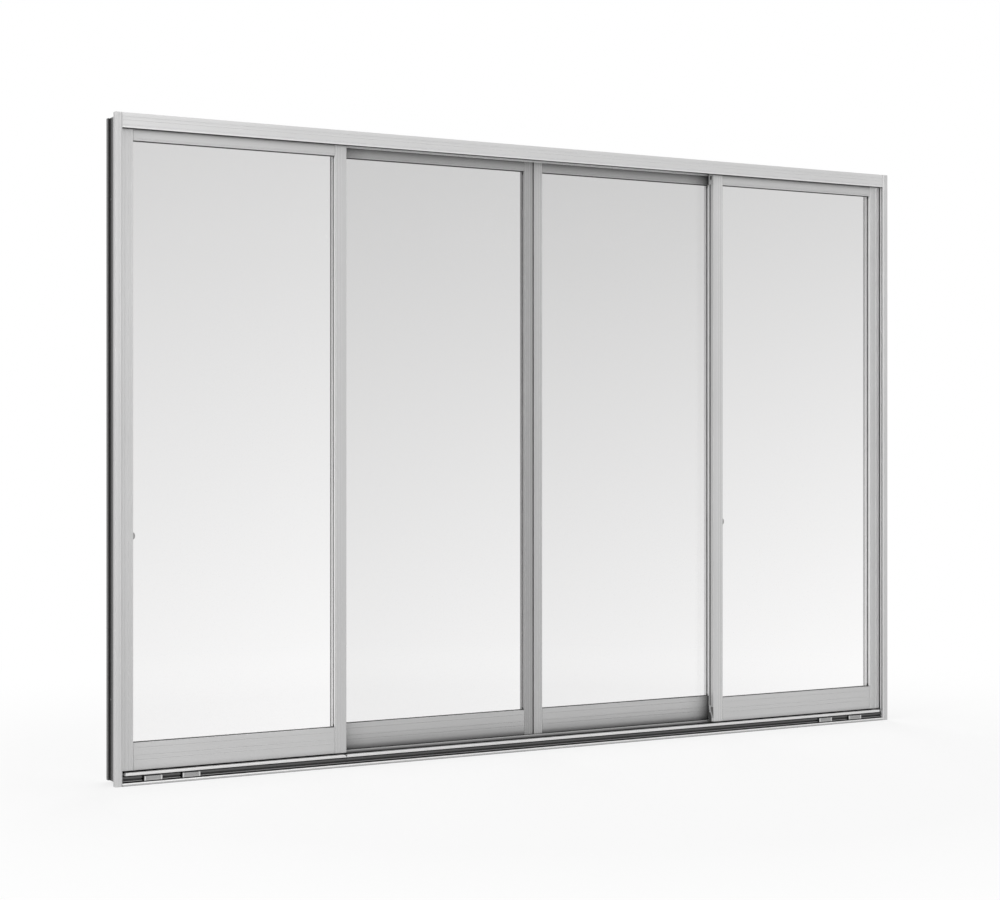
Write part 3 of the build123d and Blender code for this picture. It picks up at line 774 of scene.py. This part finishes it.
def latchShell(node):
    # half ellipse (reach cos t, halfHeight sin t) with a rim rounded by a quarter circle; the ribs
    # change the size by ribDepth * cos(ribs * t)
    b = latchButton
    low, high = boxOf(node)
    middleZ = (low[2] + high[2]) / 2
    t = np.linspace(-np.pi / 2, np.pi / 2, b["steps"])
    size = 1 + b["ribDepth"] / b["halfHeight"] * np.cos(b["ribs"] * t)
    ringX = np.append(b["reach"] * np.cos(t) * size, 0.0)
    ringZ = np.append(b["halfHeight"] * np.sin(t) * size, 0.0)
    turn = np.linspace(0, np.pi / 2, b["rimSteps"])
    inset = np.concatenate([[b["dishInset"]], b["rim"] * (1 - np.sin(turn)), [0.0]])[:, None]
    depth = np.concatenate([[b["dish"]], b["rim"] * (1 - np.cos(turn)), [high[1] - low[1]]])[:, None]
    x = low[0] + ringX * (1 - inset / b["reach"])
    z = middleZ + ringZ * (1 - inset / b["halfHeight"])
    return skin(ringStack(x, low[1] + depth, z))


for number in (1, 4):
    node = f"panel_{number}_latch"
    putPiece(f"panel{number}ThumbLatch", [latchShell(node)], moulded["greyPlastic"], f"panel_{number}",
             stands=[node])
print("thumb latches made")


# Drain covers: raised ends, a recessed middle with a slot line, and a toothed upper edge
drainCover = {"spots": (-1378.0, -1255.0, 1212.0, 1350.0), "width": 57.0, "endWidth": 4.5, "endRound": 0.5,
              "step": 0.3, "recess": 1.5, "line": 0.9, "lineAt": 0.52, "lineHalf": 0.05, "rimRound": 0.6,
              "rimShare": 0.05, "teeth": 9, "perTooth": 6, "toothDepth": 0.9, "toothFrom": 0.85,
              "levels": (0.0, 0.06, 0.12, 0.44, 0.48, 0.56, 0.60, 0.84, 0.90, 0.96, 1.0)}


def coverShell(middleX, low, high):
    # height field over the front of the cover: recess * plateau(x) + a groove line along its middle;
    # the top edge drops by toothDepth in every second tooth
    c = drainCover
    half, end, edge, step = c["width"] / 2, c["endWidth"], c["endRound"], c["step"]
    ends = np.array([half - end, half - end + edge, half - edge, half])
    between = np.linspace(-half + end + step, half - end - step, c["perTooth"] * c["teeth"])
    x = np.concatenate([-ends[::-1], between, ends])[:, None]
    share = np.array(c["levels"])[None, :]
    middle = np.clip((half - end + step - np.abs(x)) / (2 * step), 0, 1)
    inLine = np.abs(share - c["lineAt"]) < c["lineHalf"]
    rim = np.clip(np.minimum(share, 1 - share) / c["rimShare"], 0, 1)
    corner = np.clip((half - np.abs(x)) / edge, 0, 1)
    sunk = middle * (c["recess"] + c["line"] * inLine)
    sunk = sunk + c["rimRound"] * (1 - np.minimum(rim, corner)) * (1 - middle)
    tooth = (np.floor((x + half) / c["width"] * 2 * c["teeth"]) % 2) * middle
    z = low[2] + (high[2] - low[2]) * share - tooth * c["toothDepth"] * (share > c["toothFrom"])
    front = ringStack(middleX + x, low[1] + sunk, z)
    back = front.copy()
    back[..., 1] = high[1]
    return plate(front, back)


coverLow, coverHigh = boxOf("drain_covers")
coverShells = [coverShell(spot, coverLow, coverHigh) for spot in drainCover["spots"]]
putPiece("drainCoverPlates", coverShells, moulded["coverPlastic"], "frame",
         stands=["drain_covers"])
print("drain covers made")


# Soft strips in the grooves of the frame, and the bulb between the meeting stiles
strips = {"jambWidth": 5.4, "headWidth": 5.6, "headGap": 0.2, "rearHeadWidth": 2.9,
          "hang": 1.3}         # the head's strips hang this far past their nodes
bulbLip = {"footShare": 0.3, "half": 0.46, "middle": 0.42, "tall": 0.58, "cut": 0.12, "points": 11}


def bulbOutline(low, high):
    # a foot of the full width up to footShare of the way out, then a bulb (half cos a, middle + tall sin a)
    # with a from cut to 1 - cut half turns; places across, and shares of the way out
    b = bulbLip
    foot = b["footShare"]
    a = np.linspace(b["cut"] * np.pi, (1 - b["cut"]) * np.pi, b["points"])
    across = np.concatenate([[-0.5, 0.5, 0.5], b["half"] * np.cos(a), [-0.5]])
    out = np.concatenate([[0.0, 0.0, foot], b["middle"] + b["tall"] * np.sin(a), [foot]])
    return low + (high - low) * (across + 0.5), out


def uprightStrip(fromX, toX, lowY, highY, lowZ, highZ):
    # bulb outline carried straight up from lowZ to highZ, its lip towards toX
    across, out = bulbOutline(lowY, highY)
    return skin(ringStack(fromX + (toX - fromX) * out, across, np.array([lowZ, highZ])[:, None]))


def levelStrip(lowX, highX, lowY, highY, fromZ, toZ):
    # bulb outline carried along X, its lip towards toZ
    across, out = bulbOutline(lowY, highY)
    return skin(ringStack(np.array([lowX, highX])[:, None], across, fromZ + (toZ - fromZ) * out))


for side, node in ((-1, "left_jamb_seals"), (1, "right_jamb_seals")):
    low, high = boxOf(node)
    rootX, lipX = (low[0], high[0]) if side < 0 else (high[0], low[0])
    shells = [uprightStrip(rootX, lipX, low[1], low[1] + strips["jambWidth"], low[2], high[2]),
              uprightStrip(rootX, lipX, high[1] - strips["jambWidth"], high[1], low[2], high[2])]
    putPiece(node.split("_")[0] + "JambStrips", shells, moulded["sealRubber"], "frame",
             stands=[node])

low, high = boxOf("head_seals")
frontY, lipZ = low[1] + strips["headGap"], low[2] - strips["hang"]
shells = [levelStrip(low[0], high[0], frontY, frontY + strips["headWidth"], high[2], lipZ),
          levelStrip(low[0], high[0], high[1] - strips["rearHeadWidth"], high[1], high[2], lipZ)]
putPiece("headStrips", shells, moulded["sealRubber"], "frame", stands=["head_seals"])

low, high = boxOf("panel_2_meeting_seal")
bulb = uprightStrip(low[0], high[0], low[1], high[1], low[2], high[2])
putPiece("meetingBulb", [bulb], moulded["sealRubber"], "panel_2",
         stands=["panel_2_meeting_seal"])
print("soft strips made")


# Plugs that close the two ends of the nosing, the left one sloping and the right one round
nosing = {"endX": 1466.0, "front": -50.0, "back": -35.0, "low": 24.0, "high": 32.0, "play": 0.1,
          "corner": 1.2, "out": 4.0, "leastOut": 0.6, "draft": 0.12, "roundness": 0.9, "stations": 7,
          "root": 3.0, "rootInset": 2.6, "rootCorner": 0.4}


def nosingOutline(inset, corner):
    # outline of the nosing in Y and Z, drawn in by inset, with round corners
    n = nosing
    return roundBox(n["front"] + inset, n["back"] - inset, n["low"] + inset, n["high"] - inset, corner)


def nosingPlug(side):
    # outline of the nosing carried outwards in steps s from 0 to 1: at the left by
    # s (leastOut + (out - leastOut) (high - z) / height), shrunk to 1 - draft s^3 of itself, and at the right
    # by s * out, shrunk to sqrt(1 - roundness s^2)
    n = nosing
    outline = nosingOutline(n["play"], n["corner"])
    down = (n["high"] - outline[:, 1]) / (n["high"] - n["low"])
    middle = np.array([(n["front"] + n["back"]) / 2, (n["low"] + n["high"]) / 2])
    inner = nosingOutline(n["rootInset"], n["rootCorner"])
    rows = [ringStack(side * (n["endX"] - n["root"]), inner[:, 0], inner[:, 1])]
    for step in np.linspace(0, 1, n["stations"]):
        if side < 0:
            shrink = 1 - n["draft"] * step ** 3
            reach = step * (n["leastOut"] + (n["out"] - n["leastOut"]) * down)
        else:
            shrink = np.sqrt(1 - n["roundness"] * step ** 2)
            reach = step * n["out"]
        ring = middle + (outline - middle) * shrink
        rows.append(ringStack(side * (n["endX"] + reach), ring[:, 0], ring[:, 1]))
    return skin(np.stack(rows))


for side, name in ((-1, "leftNosingPlug"), (1, "rightNosingPlug")):
    putPiece(name, [nosingPlug(side)], moulded["paleFitting"], "frame")
print("nosing plugs made")


# Screws: a pan head on each jamb's web near the head, and flush heads in the side stiles at the rail ends
screw = {"webX": 1488.0, "webY": -18.0, "webZ": 1955.0, "panRadius": 4.2, "panHeight": 2.2,
         "aboveFoot": (40, 66), "belowTop": 24, "flushRadius": 4.0, "flushHeight": 0.45,
         "recess": 1.4, "recessShare": 0.8, "slotHalf": 0.16, "slotReach": 0.6, "roundness": 0.9, "root": 0.5,
         "rings": (0.04, 0.12, 0.2, 0.3, 0.4, 0.5, 0.58, 0.62, 0.75, 0.88, 0.97, 1.0), "points": 48}


def screwShell(centre, side, radius, height):
    # head of revolution, height * sqrt(1 - roundness * (r / R)^2), with a cross of depth recess where
    # |y| or |z| is less than slotHalf * R and r is less than slotReach * R; it faces along X towards side
    s = screw
    a = np.linspace(0, 2 * np.pi, s["points"], endpoint=False)[None, :]
    r = np.array(s["rings"])[:, None]
    y, z = r * np.cos(a), r * np.sin(a)
    cross = (np.minimum(np.abs(y), np.abs(z)) < s["slotHalf"]) & (r < s["slotReach"])
    out = height * np.sqrt(1 - s["roundness"] * r ** 2) - cross * min(s["recess"], height * s["recessShare"])
    rows = ringStack(centre[0] + side * out, centre[1] + radius * y, centre[2] + radius * z)
    root = rows[-1:].copy()
    root[..., 0] = centre[0] - side * s["root"]
    return skin(np.concatenate([rows, root]))


webScrews = [screwShell((side * screw["webX"], screw["webY"], screw["webZ"]), side, screw["panRadius"],
                        screw["panHeight"]) for side in (-1, 1)]
putPiece("frameScrews", webScrews, zinc, "frame")

for number, side, stile in ((1, -1, "left_stile"), (4, 1, "right_stile")):
    low, high = boxOf(f"panel_{number}_{stile}")
    edge = low[0] if side < 0 else high[0]
    heights = [low[2] + up for up in screw["aboveFoot"]] + [high[2] - screw["belowTop"]]
    shells = [screwShell((edge, (low[1] + high[1]) / 2, z), side, screw["flushRadius"], screw["flushHeight"])
              for z in heights]
    putPiece(f"panel{number}CornerScrews", shells, zinc, f"panel_{number}")
print("screws made")


# Floor: white where the light reaches it, with the door's own soft shadow close to its foot
floorLook = {"half": 30.0, "height": -0.007, "shadowShare": 0.35, "fadeFrom": 1.7, "fadeTo": 3.4,
             "lift": 0.34, "albedo": 0.85, "grain": 0.02, "grainTone": 0.015}


def seenShare(tree):
    # 1 for rays from the camera, in mirrors and through glass, 0 for the rays that light the door
    path = add(tree, "ShaderNodeLightPath", out="Is Camera Ray").node
    seen = calc(tree, "MAXIMUM", path.outputs["Is Camera Ray"], path.outputs["Is Glossy Ray"])
    return calc(tree, "MAXIMUM", seen, path.outputs["Is Transmission Ray"])


def makeFloor():
    # shadow share = shadowShare, fading to 0 between fadeFrom and fadeTo from the middle of the door
    f = floorLook
    finish, tree = newFinish("whiteFloor")
    coords = objectCoords(tree)
    away = add(tree, "ShaderNodeVectorMath", {0: coords}, out="Value", operation="LENGTH")
    share = spread(tree, away, f["fadeFrom"], f["fadeTo"], f["shadowShare"], 0.0)
    factor = calc(tree, "MULTIPLY_ADD", seenShare(tree), calc(tree, "SUBTRACT", share, 1.0), 1.0)
    lift = calc(tree, "MULTIPLY_ADD", share, f["lift"], 1.0)
    bright = add(tree, "ShaderNodeEmission", {"Color": (1, 1, 1, 1), "Strength": lift})
    grain = noise(tree, coords, [f["grain"]] * 3)
    level = vary(tree, grain, f["albedo"] * (1 - f["grainTone"]), f["albedo"] * (1 + f["grainTone"]))
    matt = add(tree, "ShaderNodeBsdfDiffuse", {"Color": greyShade(tree, level, 1.0)})
    mixed = add(tree, "ShaderNodeMixShader", {0: factor, 1: bright, 2: matt})
    add(tree, "ShaderNodeOutputMaterial", {"Surface": mixed})
    mesh = bpy.data.meshes.new("floor")
    corners = [(x * f["half"], y * f["half"], f["height"]) for x, y in ((-1, -1), (1, -1), (1, 1), (-1, 1))]
    mesh.from_pydata(corners, [], [(0, 1, 2, 3)])
    mesh.materials.append(finish)
    floor = putObject("floor", mesh)


makeFloor()

# World: white where it is seen, and a plain dimmer level for the light it gives
worldLook = {"ambient": 0.50}


def makeWorld():
    world = bpy.data.worlds.new("studio")
    bpy.context.scene.world = world
    world.use_nodes = True
    tree = world.node_tree
    tree.nodes.clear()
    ambient = worldLook["ambient"]
    strength = calc(tree, "MULTIPLY_ADD", seenShare(tree), 1.0 - ambient, ambient)
    background = add(tree, "ShaderNodeBackground", {"Color": (1, 1, 1, 1), "Strength": strength})
    add(tree, "ShaderNodeOutputWorld", {"Surface": background})


makeWorld()

# Lamps: square and soft; the side lamp leaves no glint on the metal
lamps = {
    "key": {"place": (-2.5, -12.0, 2.2), "aim": (0, 0, 1.1), "size": 5.0, "power": 350},
    "side": {"place": (-10.0, -3.2, 1.8), "aim": (0, 0, 1.0), "size": 4.0, "power": 290, "glint": False},
    "fill": {"place": (7.5, -3.5, 3.0), "aim": (0, 0, 1.0), "size": 2.5, "power": 15},
    "top": {"place": (0.0, -0.5, 6.0), "aim": (0, 0, 1.0), "size": 4.0, "power": 40},
    "rear": {"place": (2.5, 6.0, 4.0), "aim": (0, 0, 1.0), "size": 3.5, "power": 150},
}


def makeLamp(name, lamp):
    light = bpy.data.lights.new(name, "AREA")
    light.shape = "SQUARE"
    light.size = lamp["size"]
    light.energy = lamp["power"]
    holder = putObject(name, light)
    holder.location = lamp["place"]
    aim = np.array(lamp["aim"]) - np.array(lamp["place"])
    pan = np.arctan2(aim[1], aim[0]) - np.pi / 2
    tilt = np.arctan2(np.hypot(aim[0], aim[1]), -aim[2])
    holder.rotation_euler = (tilt, 0, pan)
    holder.visible_glossy = lamp.get("glint", True)


for lampName, lamp in lamps.items():
    makeLamp(lampName, lamp)

# Camera: level, left of the door and turned to the right, for an image of 1000 x 900
cameraLook = {"place": (-3.389, -5.869, 1.048), "yaw": 28.99, "lens": 71.28, "sensor": 36.0, "horizon": 439.5,
              "imageWidth": 1000, "imageHeight": 900, "near": 0.05, "far": 100.0}


def makeCamera():
    # the shift puts the horizon on its row of the image
    c = cameraLook
    data = bpy.data.cameras.new("camera")
    data.sensor_width = c["sensor"]
    data.lens = c["lens"]
    data.shift_y = (c["horizon"] - c["imageHeight"] / 2) / c["imageWidth"]
    data.clip_start, data.clip_end = c["near"], c["far"]
    camera = putObject("camera", data)
    camera.location = c["place"]
    camera.rotation_euler = (radians(90), 0, radians(-c["yaw"]))
    bpy.context.scene.camera = camera


makeCamera()
bpy.context.scene.view_settings.view_transform = "Standard"
print("floor, light and camera made")
